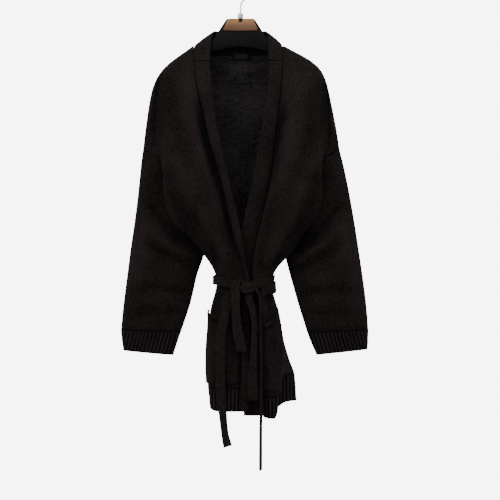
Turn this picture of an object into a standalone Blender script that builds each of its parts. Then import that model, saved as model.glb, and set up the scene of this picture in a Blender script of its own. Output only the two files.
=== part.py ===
"""A wrap cardigan with a tied belt, hung on a wide wooden hanger.

Metres, +Z up, front towards -Y. The origin is the seat inside the top of the hanger's hook.
Wearer's right is at -X. Tables are in millimetres; "right" and "left" columns hold distances
out from the middle of the hanger, positive outwards on each side.
"""
import math

import bmesh
import bpy
import numpy as np

MM = 0.001

# Cloth
WALL = 2.6
BAND_WALL = 5.0
BELT_WALL = 3.2
SEAM_GAP = 0.3
COLLAR_SEAM_GAP = 0.8
TIP_GAP = 0.8
BAND_BOW = 0.12
BAND_TURN = 0.37
BAND_COLUMNS = (0.25, 0.6)
COLLAR_BOW = 3.0
COLLAR_COLUMNS = (0.35, 0.75)
RIB_HEIGHT = 1.3
RIBS_PER_CUFF_FACET = 2
HEM_RIB_PITCH = 8.8

# Hook
HOOK_WIRE = 4.0
HOOK_INNER_RADIUS = 20.0
HOOK_MIDDLE_RADIUS = HOOK_INNER_RADIUS + HOOK_WIRE / 2

# Lines on the garment, from the neck down to the hem
# The seam between each front and its band, at the bottom of the valley beside the band
BAND_SEAM = ("z right left right_y left_y", (
    (-158, 112, 100, -7, -6),
    (-190, 112, 101, -23, -21),
    (-238, 108, 99, -30, -27),
    (-286, 99, 95, -34, -31),
    (-346, 85, 87, -40, -35),
    (-406, 70, 79, -45, -38),
    (-454, 56, 74, -49, -40),
    (-500, 44, 66, -53, -42),
    (-545, 34, 57, -57, -44),
    (-589, 23, 47, -60, -45),
    (-622, 14, 37, -61, -45),
    (-658, 4, 31, -60, -44),
    (-694, -5, 25, -58, -41),
    (-728, -11, 25, -56, -40),
    (-766, -4, 32, -58, -41),
    (-826, -1, 42, -64, -47),
    (-898, 0, 48, -71, -52),
    (-970, 1, 52, -76, -56),
    (-1045, 1, 53, -78, -58),
))
# How far the front's rolled edge stands out from that seam
ROLL = ("z right left", (
    (-158, 1, 2),
    (-190, 2, 8),
    (-238, 3, 12),
    (-286, 7, 13),
    (-346, 12, 12),
    (-406, 11, 10),
    (-454, 10, 7),
    (-545, 5, 4),
    (-622, 5, 4),
    (-658, 7, 4),
    (-728, 7, 4),
    (-766, 6, 4),
    (-1045, 4, 4),
))
# Where each front bulges furthest out, over the sleeve
FLANK = ("z right left", (
    (-158, 114, 104),
    (-174, 128, 124),
    (-196, 160, 168),
    (-215, 181, 189),
    (-238, 187, 197),
    (-300, 187, 196),
    (-406, 187, 195),
    (-500, 184, 194),
    (-545, 178, 193),
    (-574, 166, 177),
    (-600, 143, 158),
    (-622, 117, 141),
    (-658, 88, 120),
    (-676, 74, 99),
    (-694, 63, 84),
    (-711, 57, 76),
    (-728, 56, 75.5),
    (-745, 59, 76),
    (-766, 66, 83),
    (-790, 74, 91),
    (-826, 75, 99),
    (-862, 79, 104),
    (-898, 80, 104),
    (-934, 80, 99),
    (-970, 77, 94),
    (-1045, 70, 86),
))
# The fold between that bulge and the sleeve or the side
GROOVE = ("z right left y", (
    (-158, 115, 105.5, -4),
    (-174, 133, 130, -12),
    (-196, 165, 172, -15),
    (-215, 186, 193, -15),
    (-238, 197, 203, -12),
    (-286, 200, 209, -8),
    (-346, 202, 210, -6),
    (-406, 203, 211, -13),
    (-412, 202, 207, -13),
    (-424, 194, 197, -22),
    (-454, 183, 188, -31),
    (-500, 167, 176, -32),
    (-545, 150, 163, -32),
    (-589, 124, 138, -29),
    (-622, 98, 118, -26),
    (-658, 82, 106, -22),
    (-694, 61.5, 82, -20),
    (-728, 55.5, 75, -20),
    (-766, 65, 82, -20),
    (-826, 74, 97, -20),
    (-898, 79, 97, -16),
    (-970, 76, 87, -12),
    (-1045, 69, 78, -12),
))
# The shoulder seam, then the armhole seam, then the side seam
EDGE = ("z right left y", (
    (-158, 116, 107, -1),
    (-174, 137, 136, -5),
    (-196, 169, 177, -7),
    (-215, 190, 196, -7),
    (-238, 206, 206, -7),
    (-286, 218, 216, -7),
    (-346, 226, 228, -7),
    (-385, 232, 236, -5),
    (-406, 234, 238, 0),
    (-412, 214, 215, -13),
    (-424, 199, 201, -17),
    (-454, 178, 181, -18),
    (-500, 149, 156, -18),
    (-545, 123, 133, -18),
    (-589, 97, 112, -14),
    (-608, 87, 103, -9),
    (-622, 80, 97, 0),
    (-658, 75, 92, 0),
    (-676, 67, 86, 0),
    (-694, 59, 79, 0),
    (-711, 55, 74.5, 0),
    (-728, 54, 73.5, 0),
    (-745, 56, 74, 0),
    (-766, 63, 80, 0),
    (-790, 71, 88, 0),
    (-826, 72, 96, 0),
    (-862, 75, 100, 0),
    (-898, 76, 100, 0),
    (-934, 77, 98, 0),
    (-970, 74, 96, 0),
    (-1045, 68, 94, 0),
))
# Depths: how far the fronts and back stand from the middle, how far the shoulder's end
# rounds out, how far the back flares past the fronts, and how deep its gathers are
DEPTH = ("z front back lobe flare_right flare_left gather", (
    (-158, -9, 26, 0, 0, 0, 0),
    (-174, -19, 27, 1, 0, 0, 0),
    (-196, -28, 29, 2, 0, 0, 0),
    (-238, -42, 34, 4, 0, 0, 0),
    (-286, -58, 42, 8, 0, 0, 0),
    (-346, -72, 54, 12, 0, 0, 0),
    (-385, -79, 61, 12, 0, 0, 0),
    (-406, -82, 64, 3, 0, 0, 0),
    (-412, -83, 65, 3, 0, 0, 0),
    (-454, -88, 70, 0, 0, 0, 0),
    (-500, -90, 74, 0, 0, 0, 0.5),
    (-545, -88, 76, 0, 0, 0, 1.5),
    (-589, -82, 74, 0, 0, 0, 3),
    (-622, -75, 68, 0, 0, 0, 4),
    (-658, -68, 60, 0, 0, 0, 4),
    (-694, -62, 50, 0, 0, 0, 2.5),
    (-728, -59, 46, 0, 0, 0, 1.2),
    (-766, -62, 52, 0, 0, 0, 4),
    (-826, -72, 64, 0, 0, 0, 8),
    (-862, -77, 70, 0, 0, 2, 10),
    (-898, -80, 75, 0, 0, 8, 11),
    (-934, -83, 79, 0, 1, 22, 12),
    (-970, -85, 82, 0, 2, 36, 12),
    (-1045, -87, 86, 0, 4, 52, 12),
))
# Place of each band's free edge
BAND_EDGE = ("z right left right_y left_y", (
    (-174, 72, 66, -24, -22),
    (-190, 73, 67, -30, -27),
    (-238, 70, 68, -40, -36),
    (-286, 66, 63, -50, -42),
    (-346, 58, 52, -60, -46),
    (-406, 48, 41, -66, -48),
    (-454, 37, 34, -70, -50),
    (-500, 26, 24, -72, -52),
    (-545, 13, 15, -71, -52),
    (-589, 2, 4, -69, -50),
    (-622, -4, -4, -67, -48),
    (-658, -10, -10, -65, -46),
    (-694, -15, -15, -65, -43),
    (-728, -21, -16, -64, -42),
    (-766, -21, -10, -66, -43),
    (-826, -21, -3, -70, -49),
    (-898, -20, 3, -77, -54),
    (-970, -20, 7, -82, -58),
    (-1045, -19, 8, -84, -60),
))
# The hem's two edges by column of the torso: where the ribs start and where they end
HEM_LINE = ("column right_top right_bottom left_top left_bottom", (
    (0, -973, -1027, -992, -1038),
    (3, -973, -1026, -993, -1044),
    (4, -970, -1021, -980, -1029),
    (7, -966, -1017, -966, -1020),
    (11, -958, -1013, -942, -1011),
    (14, -956, -1012, -956, -1012),
))
HEM_ROW = -970.0
HEM_BOTTOM_ROW = -1030.0

# Sleeves as rings: outer and inner points of each ring and half its depth
SLEEVE_RIGHT = ("outer outer_z inner inner_z half", (
    (239, -440, 84, -643, 19),
    (243.5, -490, 88, -661, 22),
    (248.5, -534, 94, -677, 25),
    (255.5, -589, 101, -696, 28),
    (263, -634, 107, -717, 30),
    (269, -683, 113, -746, 31),
    (275, -730, 119, -773, 31),
    (281, -775, 128, -800, 30),
    (287, -838, 143, -844, 26),
))
SLEEVE_LEFT = ("outer outer_z inner inner_z half", (
    (247, -440, 105, -648, 19),
    (257, -486, 108, -668, 22),
    (265, -529, 113, -684, 25),
    (274, -580, 118, -704, 28),
    (281, -627, 124, -725, 30),
    (289, -678, 131, -750, 31),
    (296, -728, 138, -774, 31),
    (302, -771, 146, -800, 30),
    (307, -838, 160, -844, 26),
))
CUFF_RIGHT = ((287, -838, 143, -844, 26), (285.5, -862, 152, -872, 23), (281.5, -887, 160.5, -898, 22))
CUFF_LEFT = ((307, -838, 160, -844, 26), (307, -861, 171, -872, 23), (305.5, -884, 181.5, -897.5, 22))

COLLAR_MIDDLE = (0, -5, -150)
# The collar round the back of the neck: seam edge and free edge, from each shoulder inwards
COLLAR_RIGHT = ("seam_x seam_y seam_z free_x free_y free_z", (
    (112, -24, -196, 72.6, -31.5, -196),
    (112, -17, -174, 72, -24, -162),
    (111, -5, -157, 69, -12, -134),
    (105, 9, -154, 65, 3, -121),
    (88, 20, -163, 56, 15, -120),
    (50, 25, -172, 34, 20.5, -121),
    (0, 26, -175.8, 0, 22, -122),
))
COLLAR_LEFT = ("seam_x seam_y seam_z free_x free_y free_z", (
    (101, -22, -196, 67.2, -28.8, -196),
    (101, -16, -174, 67, -22, -162),
    (100, -5, -154, 66, -11, -133),
    (95, 9, -152, 62, 3, -121),
    (80, 20, -162, 53, 15, -120),
    (46, 25, -172, 32, 20.5, -121),
    (0, 26, -175.8, 0, 22, -122),
))

# Pockets: columns of the front they span, and by share across them the height of the mouth,
# its stand-off from the front, and the height of the bottom edge
POCKET_RIGHT_COLUMNS = (1, 2, 3, 3.5, 4)
POCKET_RIGHT = ("share mouth gape bottom", (
    (0, -812, 0, -960),
    (0.4, -806, 12, -963),
    (0.75, -795, 9, -962),
    (1, -788, 0, -960),
))
POCKET_LEFT_COLUMNS = (1, 2, 3, 3.5)
POCKET_LEFT = ("share mouth gape bottom", (
    (0, -826, 0, -975),
    (0.45, -817, 9, -980),
    (0.8, -792, 5, -980),
    (1, -782, 0, -978),
))
POCKET_LIFT = 1.0
POCKET_BAND_HEIGHT = 12.0
POCKET_GAPE_BELOW = 0.84
POCKET_ROWS = (-872, -912, -942)
POCKET_BAND_RISE = 1.4

# Row heights of the torso: shoulders, then the armhole, then down to the hem
SHOULDER_ROWS = (-158, -174, -196, -224, -262, -310, -360)
ARMHOLE_ROWS = (-406, -424, -446, -472, -502, -534, -564, -592, -622)
BODY_ROWS = (-640, -658, -676, -694, -711, -728, -746, -768, -796, -832, -872, -912, -942, -970)
ROWS = SHOULDER_ROWS + ARMHOLE_ROWS + BODY_ROWS
FIRST_ARMHOLE = len(SHOULDER_ROWS)
LAST_ARMHOLE = FIRST_ARMHOLE + len(ARMHOLE_ROWS) - 1

# Columns of the torso by station: 0 band seam, 1 roll, 2 and 3 crown, 4 flank, 5 groove,
# 6 shoulder's end, 7 outer seam, then 8 and 9 shoulder's end, 10 groove, 11 flank,
# 12 and 13 crown of the back, 14 middle of the back
FRONT_COLUMNS = (0, 0.5, 1, 2, 3, 3.5, 4, 4.5, 5, 6, 7)
BACK_COLUMNS = (7, 8, 9, 10, 10.5, 11, 11.5, 12, 12.5, 13, 13.5, 14)

NECK_DROP = (-18, -10, -3)

# Belt
BELT_HALF_WIDTH = 10.0
BELT_LIFT = 1.2
BELT_LAYER = BELT_WALL + 1.2
WAIST_ROWS = (-694, -711, -728, -746, -768)
WAIST_MIDDLE = (8, -4)
WRAP_STEPS = 44
# Height of each wrap's middle by direction: 0 wearer's left, 90 back, 180 right, 270 front
WRAP_INNER = ("angle height", (
    (0, -716),
    (90, -722),
    (180, -726),
    (255, -728),
    (275, -731),
    (300, -727),
    (360, -716),
))
WRAP_OUTER = ("angle height", (
    (-62, -747),
    (0, -733),
    (90, -730),
    (180, -727),
    (240, -728),
    (268, -731),
))
# Hanging ends and loops: centre of each row, half of what shows of its width, turn of the
# width away from the front, in degrees
LOOP_RIGHT = ("x y z half turn", (
    (-12, -75.4, -719, 11.3, 0),
    (-12, -77.8, -745, 11.2, 0),
    (-11, -86, -787, 10, 12),
    (-7, -89, -834, 11.5, 0),
    (0, -91, -868, 12, -5),
    (2.5, -94, -883, 12, -6),
    (2.5, -99, -883, 12, -6),
    (0, -101, -868, 12, -5),
    (-7, -98, -834, 11.5, 0),
    (-11, -93, -787, 10, 12),
    (-12, -84.5, -745, 11.2, 0),
    (-12, -82, -717, 11.3, 0),
))
LOOP_LEFT = ("x y z half turn", (
    (20, -78, -751.1, 9, 0),
    (22.5, -78.5, -766, 9, 5),
    (30, -80, -788, 8.5, 20),
    (35, -82, -822, 8.5, 25),
    (33, -86, -870, 8.5, 25),
    (32, -89, -905, 9.5, 15),
    (31, -91, -940, 11, 0),
    (30, -92.5, -975, 12, 0),
    (30, -95, -995, 12, 0),
    (30, -100.5, -995, 12, 0),
    (30, -99, -975, 12, 0),
    (29, -98, -940, 11, 0),
    (31, -97, -905, 9.5, 15),
    (33, -95, -870, 8.5, 25),
    (35, -91, -822, 8.5, 25),
    (30, -88, -788, 8.5, 20),
    (22.5, -85, -766, 9, 5),
    (20, -84, -751.1, 9, 0),
))
TAIL_RIGHT = ("x y z half turn", (
    (-16, -73, -744, 10, 0),
    (-26, -75, -757, 10.5, 0),
    (-33, -82, -783, 10.8, 5),
    (-38, -88.5, -808, 11, 5),
    (-45, -91, -840, 11, 8),
    (-46.5, -93, -870, 11, 10),
    (-47, -94, -930, 11, 10),
    (-46, -94, -987, 11, 10),
    (-43, -94, -1010, 11, 25),
    (-40, -95, -1040, 11, 42),
    (-35.5, -96, -1081, 11, 45),
    (-29, -97, -1107, 11, 20),
))
TAIL_LEFT = ("x y z half turn", (
    (37.4, -84.5, -738, 11, 76),
    (46, -86.5, -752, 11, 78),
    (49, -88, -771, 11, 78),
    (48.5, -88.5, -800, 11, 78),
    (49, -90, -870, 11, 78),
    (49.5, -93, -940, 11, 78),
    (49.5, -95, -1000, 11, 78),
    (48, -96, -1060, 11, 78),
    (47.6, -96, -1163, 11, 76),
))
# The knot: middle, half sizes, and how deep the groove between its two rolls is
KNOT_MIDDLE = (18, -81.2, -738)
KNOT_HALF = (18.5, 10.5, 12.5)
KNOT_GROOVE = 3.5
KNOT_STRAND = 2.5
KNOT_STEPS = 20

# Label on the inside of the back: half width, middle, and y and z of its rows
LABEL_HALF_WIDTH = 22.5
LABEL_MIDDLE = 2.5
LABEL_ROWS = ((19.4, -171.5), (21, -180), (22.6, -188.5))
LABEL_WALL = 0.9

# Hanger: half of its outline, from the flat top of the head to the end of the arm
HANGER_LINE = ("x top bottom half", (
    (0, -92, -160, 10.5),
    (29, -92, -163, 10.5),
    (33, -93, -164, 10.5),
    (36, -96.5, -165, 10.5),
    (50, -118, -168, 10.5),
    (66, -143, -172, 10.5),
    (80, -157, -178, 10),
    (92, -168, -187, 8.5),
    (112, -176, -198, 8.5),
    (137, -183, -211, 10),
    (162, -200, -224, 10),
    (176, -214, -232, 9),
    (182, -220, -232, 7),
    (185, -225, -230, 4),
))
# The plate on its head: half of its outline, from the notch for the hook to the lower middle
FACE_OUTLINE = (
    (4, -101), (4, -93), (28.5, -93), (31.5, -95), (41, -117), (41, -119.6),
    (38.6, -121.2), (20, -121.6), (0, -121.7),
)
FACE_THICKNESS = 2.0
FERRULE_TOP = -79.0
FERRULE_RADIUS = 6.5
FERRULE_BORE = 2.4
SHAFT_FOOT = -91.6
HOOK_BEND = ((0, -62), (1.5, -54), (8, -46.5), (14, -40))
HOOK_END_ANGLE = 205
HOOK_START_ANGLE = -38


def look_up(table, key):
    """One smooth row of a table at a height or column, by column name."""
    names, rows = table
    names = names.split()
    rows = np.array(rows, float)
    order = np.argsort(rows[:, 0])
    rows = rows[order]
    keys = rows[:, 0]
    place = min(max(key, keys[0]), keys[-1])
    i = int(min(np.searchsorted(keys, place, side="right") - 1, len(keys) - 2))
    width = keys[i + 1] - keys[i]
    t = (place - keys[i]) / width
    slope = (rows[i + 1] - rows[i]) / width
    before = (rows[i] - rows[i - 1]) / (keys[i] - keys[i - 1]) if i > 0 else slope
    after = (rows[i + 2] - rows[i + 1]) / (keys[i + 2] - keys[i + 1]) if i + 2 < len(keys) else slope
    start = np.where(before * slope > 0, 2 * before * slope / (before + slope + 1e-12), 0)
    end = np.where(after * slope > 0, 2 * after * slope / (after + slope + 1e-12), 0)
    values = (rows[i] * (2 * t ** 3 - 3 * t ** 2 + 1) + rows[i + 1] * (3 * t ** 2 - 2 * t ** 3)
              + width * (start * (t ** 3 - 2 * t ** 2 + t) + end * (t ** 3 - t ** 2)))
    return dict(zip(names, values))


def mix(a, b, t):
    return a + (b - a) * t


def smooth_line(stations, places):
    """Points on a smooth line through the stations, at fractional station numbers."""
    stations = np.array(stations, float)
    last = len(stations) - 1
    points = []
    for place in places:
        i = int(min(math.floor(place), last - 1))
        t = place - i
        p1, p2 = stations[i], stations[i + 1]
        p0 = stations[i - 1] if i > 0 else 2 * p1 - p2
        p3 = stations[i + 2] if i + 2 <= last else 2 * p2 - p1
        points.append(0.5 * (2 * p1 + (p2 - p0) * t + (2 * p0 - 5 * p1 + 4 * p2 - p3) * t * t
                             + (3 * p1 - p0 - 3 * p2 + p3) * t ** 3))
    return np.array(points)


def half_section(side, z):
    """The fifteen stations of half a section of the torso at one height: distance out and y."""
    name = "right" if side < 0 else "left"
    seam = look_up(BAND_SEAM, z)
    depth = look_up(DEPTH, z)
    groove = look_up(GROOVE, z)
    edge = look_up(EDGE, z)
    flank = look_up(FLANK, z)[name]
    seam_x, seam_y = seam[name], seam[name + "_y"]
    roll_x = seam_x + look_up(ROLL, z)[name]
    front_y, back_y = depth["front"], depth["back"]
    back_flank = flank + depth["flare_" + name]
    groove_x, edge_x = groove[name], edge[name]
    back_groove = groove_x + 0.6 * depth["flare_" + name]
    in_armhole = ARMHOLE_ROWS[-1] <= z <= ARMHOLE_ROWS[0]
    back_edge_y = -edge["y"] if in_armhole else edge["y"]
    return np.array([
        (seam_x, seam_y),
        (roll_x, mix(seam_y, front_y, 0.62)),
        (mix(roll_x, flank, 0.35), front_y),
        (mix(roll_x, flank, 0.78), mix(0, front_y, 0.92)),
        (flank, mix(groove["y"], front_y, 0.5)),
        (groove_x, groove["y"]),
        (mix(groove_x, edge_x, 0.55), mix(groove["y"], edge["y"], 0.55) - depth["lobe"]),
        (edge_x, edge["y"]),
        (mix(edge_x, back_groove, 0.25), mix(back_edge_y, -groove["y"], 0.25) + 0.6 * depth["lobe"]),
        (mix(edge_x, back_groove, 0.6), mix(back_edge_y, -groove["y"], 0.6) + depth["lobe"]),
        (back_groove, -groove["y"]),
        (back_flank, mix(-groove["y"], back_y, 0.5)),
        (0.78 * back_flank, 0.94 * back_y),
        (0.4 * back_flank, back_y),
        (0, 0.98 * back_y),
    ])


def hem_shift(side, column, weight_row):
    """Height of a hem edge at a column: the top edge or the bottom edge of the ribs."""
    name = "right" if side < 0 else "left"
    return look_up(HEM_LINE, column)[name + weight_row]


def torso_point_row(side, z, columns):
    """One row of points over the given columns of half the torso, in millimetres."""
    stations = half_section(side, z)
    gather = look_up(DEPTH, z)["gather"]
    front = min(columns) < 7
    if front:
        line = smooth_line(stations[:8], columns)
    else:
        if ARMHOLE_ROWS[-1] <= z <= ARMHOLE_ROWS[0]:
            stations[7, 1] *= -1
        line = smooth_line(stations[7:], [c - 7 for c in columns])
    points = []
    for column, (out, y) in zip(columns, line):
        share = min(max((column - 10) / 4, 0), 1)
        taper = min(share * 4, 1)
        y += gather * taper * math.cos(4 * math.pi * share)
        points.append((side * out, y, z))
    points = np.array(points)
    if not front and z >= SHOULDER_ROWS[len(NECK_DROP) - 1]:
        drop = NECK_DROP[SHOULDER_ROWS.index(z)]
        points[:, 2] += drop * (1 - np.minimum(np.abs(points[:, 0]) / 108, 1) ** 2)
    lowering = min(max((-z - 890) / (-HEM_ROW - 890), 0), 1)
    if lowering > 0:
        for point, column in zip(points, columns):
            point[2] += lowering * (hem_shift(side, column, "_top") - HEM_ROW)
    return points


def normals(points, ring=False):
    """Unit normals of a grid of points, pointing away from the viewer of its outer face."""
    along = np.empty_like(points)
    across = np.empty_like(points)
    if ring:
        across[:] = np.roll(points, -1, 1) - np.roll(points, 1, 1)
    else:
        ahead = points[:, 2:] - points[:, 1:-1]
        behind = points[:, 1:-1] - points[:, :-2]
        ahead = ahead / (np.linalg.norm(ahead, axis=2, keepdims=True) + 1e-9)
        behind = behind / (np.linalg.norm(behind, axis=2, keepdims=True) + 1e-9)
        across[:, 1:-1] = ahead + behind
        across[:, 0] = points[:, 1] - points[:, 0]
        across[:, -1] = points[:, -1] - points[:, -2]
    along[1:-1] = points[2:] - points[:-2]
    along[0] = points[1] - points[0]
    along[-1] = points[-1] - points[-2]
    crossed = np.cross(along, across)
    return crossed / (np.linalg.norm(crossed, axis=2, keepdims=True) + 1e-12)


def eased(vectors, ring=False):
    """Unit vectors of a grid, each turned part of the way towards its neighbours."""
    spread = np.pad(vectors, ((1, 1), (0, 0), (0, 0)), mode="edge")
    spread = np.pad(spread, ((0, 0), (1, 1), (0, 0)), mode="wrap" if ring else "edge")
    around = spread[:-2, 1:-1] + spread[2:, 1:-1] + spread[1:-1, :-2] + spread[1:-1, 2:]
    return unit(vectors * 4 + around)


def unit(vectors):
    return vectors / (np.linalg.norm(vectors, axis=-1, keepdims=True) + 1e-12)


def material(name, colour, roughness, metallic=0.0):
    made = bpy.data.materials.new(name)
    made.use_nodes = True
    shader = made.node_tree.nodes["Principled BSDF"]
    shader.inputs["Base Color"].default_value = (*colour, 1)
    shader.inputs["Roughness"].default_value = roughness
    shader.inputs["Metallic"].default_value = metallic
    return made


def mesh_object(name, vertices, faces, finish, smooth=True):
    """A named object of its own mesh, its faces turned outwards."""
    mesh = bpy.data.meshes.new(name)
    mesh.from_pydata([tuple(v) for v in vertices], [], faces)
    shape = bmesh.new()
    shape.from_mesh(mesh)
    bmesh.ops.recalc_face_normals(shape, faces=shape.faces)
    shape.to_mesh(mesh)
    shape.free()
    mesh.materials.append(finish)
    if smooth:
        mesh.shade_smooth()
        mesh.set_sharp_from_angle(angle=math.radians(50))
    made = bpy.data.objects.new(name, mesh)
    PARTS.objects.link(made)
    return made


def wall(name, outer, inner, finish, ring=False):
    """A closed cloth wall between two grids of points that share their rows and columns."""
    outer = np.asarray(outer) * MM
    inner = np.asarray(inner) * MM
    rows, columns = outer.shape[:2]
    inner_rows = inner.shape[0]
    vertices = list(outer.reshape(-1, 3)) + list(inner.reshape(-1, 3))
    faces = []

    def quad(a, b, c, d):
        pa, pb, pc, pd = (vertices[k] for k in (a, b, c, d))
        if np.linalg.norm(pa - pc) <= np.linalg.norm(pb - pd):
            faces.extend([(a, b, c), (a, c, d)])
        else:
            faces.extend([(a, b, d), (b, c, d)])

    def at(layer, i, j):
        return layer * rows * columns + i * columns + j % columns

    spans = columns if ring else columns - 1
    for i in range(rows - 1):
        for j in range(spans):
            quad(at(0, i, j), at(0, i, j + 1), at(0, i + 1, j + 1), at(0, i + 1, j))
    for i in range(inner_rows - 1):
        for j in range(spans):
            quad(at(1, i, j), at(1, i + 1, j), at(1, i + 1, j + 1), at(1, i, j + 1))
    for j in range(spans):
        quad(at(0, 0, j), at(1, 0, j), at(1, 0, j + 1), at(0, 0, j + 1))
        foot, inner_foot = rows - 1, inner_rows - 1
        quad(at(0, foot, j), at(0, foot, j + 1), at(1, inner_foot, j + 1), at(1, inner_foot, j))
    if not ring:
        for i in range(rows - 1):
            quad(at(0, i, 0), at(0, i + 1, 0), at(1, i + 1, 0), at(1, i, 0))
            last = columns - 1
            quad(at(0, i, last), at(1, i, last), at(1, i + 1, last), at(0, i + 1, last))
    return mesh_object(name, vertices, faces, finish)


def draw_in(outer, inner, axis, end, gap=SEAM_GAP / 2):
    """Moves one edge of a wall back from its seam, along the cloth."""
    lines = [np.moveaxis(grid, axis, 0) for grid in (outer, inner)]
    here, beside = (0, 1) if end == 0 else (-1, -2)
    step = unit(lines[0][beside] - lines[0][here]) * gap
    for line in lines:
        line[here] += step


def split_seam(piece, other, thickness=WALL, other_thickness=WALL):
    """Outer and inner lines of two walls that meet at one seam, half a gap to each side.

    The first piece gives its points at the seam, the points beside them on that piece, and the
    unit normals there that point into the cloth. The other piece gives the last two.
    """
    seam, beside, inward = piece
    other_beside, other_inward = other
    towards = unit(beside - seam)
    other_towards = unit(other_beside - seam)
    lean = inward + other_inward
    valley = -(towards + other_towards)
    facing = np.sum(lean * valley, axis=-1, keepdims=True)
    weak = np.linalg.norm(lean, axis=-1, keepdims=True) < 0.5
    mitre = unit(lean + np.where((facing > 0) | weak, valley, 0))
    along = unit(np.gradient(seam, axis=0))
    split = unit(np.cross(along, mitre))
    split *= np.sign(np.sum(split * (towards - other_towards), axis=-1, keepdims=True) + 1e-12)
    reach = np.clip(1 / np.maximum(np.sum(mitre * inward, axis=-1, keepdims=True), 0.4), 1, 1.3)
    shift = split * SEAM_GAP / 2
    inner, other_inner = seam + mitre * thickness * reach, seam + mitre * other_thickness * reach
    return (seam + shift, inner + shift), (seam - shift, other_inner - shift)


def torso_grids():
    """Outer points of the whole torso: from the right band seam round the back to the left one."""
    grids = {}
    for side in (-1, 1):
        grids[side, "front"] = np.array([torso_point_row(side, z, FRONT_COLUMNS) for z in ROWS])
        grids[side, "back"] = np.array([torso_point_row(side, z, BACK_COLUMNS) for z in ROWS])
    return grids


def whole_ring(grids):
    """All columns of the torso in one grid, and the place of each seam in it."""
    right_front = grids[-1, "front"]
    right_back = grids[-1, "back"]
    left_back = grids[1, "back"][:, ::-1]
    left_front = grids[1, "front"][:, ::-1]
    return np.concatenate([right_front[:, :-1], right_back[:, :-1], left_back[:, :-1], left_front], axis=1)


FRONT_COUNT = len(FRONT_COLUMNS)
COLLAR_ROW = SHOULDER_ROWS.index(-196)
MIDDLE_ROW = len(ROWS) // 2
CROWN_COLUMN = 3
BACK_COUNT = len(BACK_COLUMNS)
RIGHT_SEAM = FRONT_COUNT - 1
LEFT_SEAM = RIGHT_SEAM + 2 * (BACK_COUNT - 1)


def sleeve_ring(side, ring, fractions):
    """One ring of a sleeve: outer point, front half down to the inner point, back half up again."""
    outer, outer_z, inner, inner_z, half = ring
    start = np.array([side * outer, 0, outer_z], float)
    end = np.array([side * inner, 0, inner_z], float)
    points = []
    for fraction in list(fractions) + list(fractions[-2:0:-1]):
        along = (1 - math.cos(math.pi * fraction)) / 2
        depth = half * math.sin(math.pi * fraction) ** 0.8 if 0 < fraction < 1 else 0
        points.append(mix(start, end, along) + np.array([0, -depth, 0]))
    points = np.array(points)
    points[len(fractions):, 1] *= -1
    return points


def facing(inward, row, column, direction):
    """The normals, turned so that the one at a chosen point looks along a direction."""
    return inward if np.dot(inward[row, column], direction) > 0 else -inward


def torso_with_hem():
    """Outer points of torso and hem, the back's own armhole columns, and inward normals."""
    grids = torso_grids()
    ring = whole_ring(grids)
    columns = FRONT_COLUMNS[:-1] + BACK_COLUMNS + BACK_COLUMNS[-2:0:-1] + FRONT_COLUMNS[::-1]
    middle = RIGHT_SEAM + BACK_COUNT - 1
    bottom = []
    for place, column in enumerate(columns):
        side = -1 if place <= middle else 1
        half = BACK_COLUMNS if column > 7 else FRONT_COLUMNS
        low = torso_point_row(side, HEM_BOTTOM_ROW, half)[half.index(column)]
        low[2] = hem_shift(side, column, "_bottom")
        bottom.append(low)
    bottom = np.array(bottom)
    whole = np.concatenate([ring, [mix(ring[-1], bottom, 0.5)], [bottom]])
    inward = facing(eased(eased(normals(whole))), MIDDLE_ROW, CROWN_COLUMN, (0, 1, 0))
    for part in (slice(0, RIGHT_SEAM + 1), slice(LEFT_SEAM, None)):
        inward[0, part] = unit(inward[0, part].mean(axis=0))
        inward[1, part] = unit(inward[1, part] + inward[1, part].mean(axis=0))
    return grids, whole, inward


def band_front(side):
    """The direction a front's band faces, turned a little towards its own sleeve."""
    return unit(np.array([-side * BAND_TURN, -1, 0]))


def band_grid(side, seam_line):
    """Outer points of one front's band: seam, two points of its roll, free edge."""
    word = "right" if side < 0 else "left"
    rows = []
    for point in seam_line:
        edge = look_up(BAND_EDGE, point[2])
        free = np.array([side * edge[word], edge[word + "_y"], point[2]])
        bow = band_front(side) * BAND_BOW * np.linalg.norm(free - point)
        near, far = BAND_COLUMNS
        rows.append([point, mix(point, free, near) + bow * 0.8, mix(point, free, far) + bow, free])
    return np.array(rows)


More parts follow.
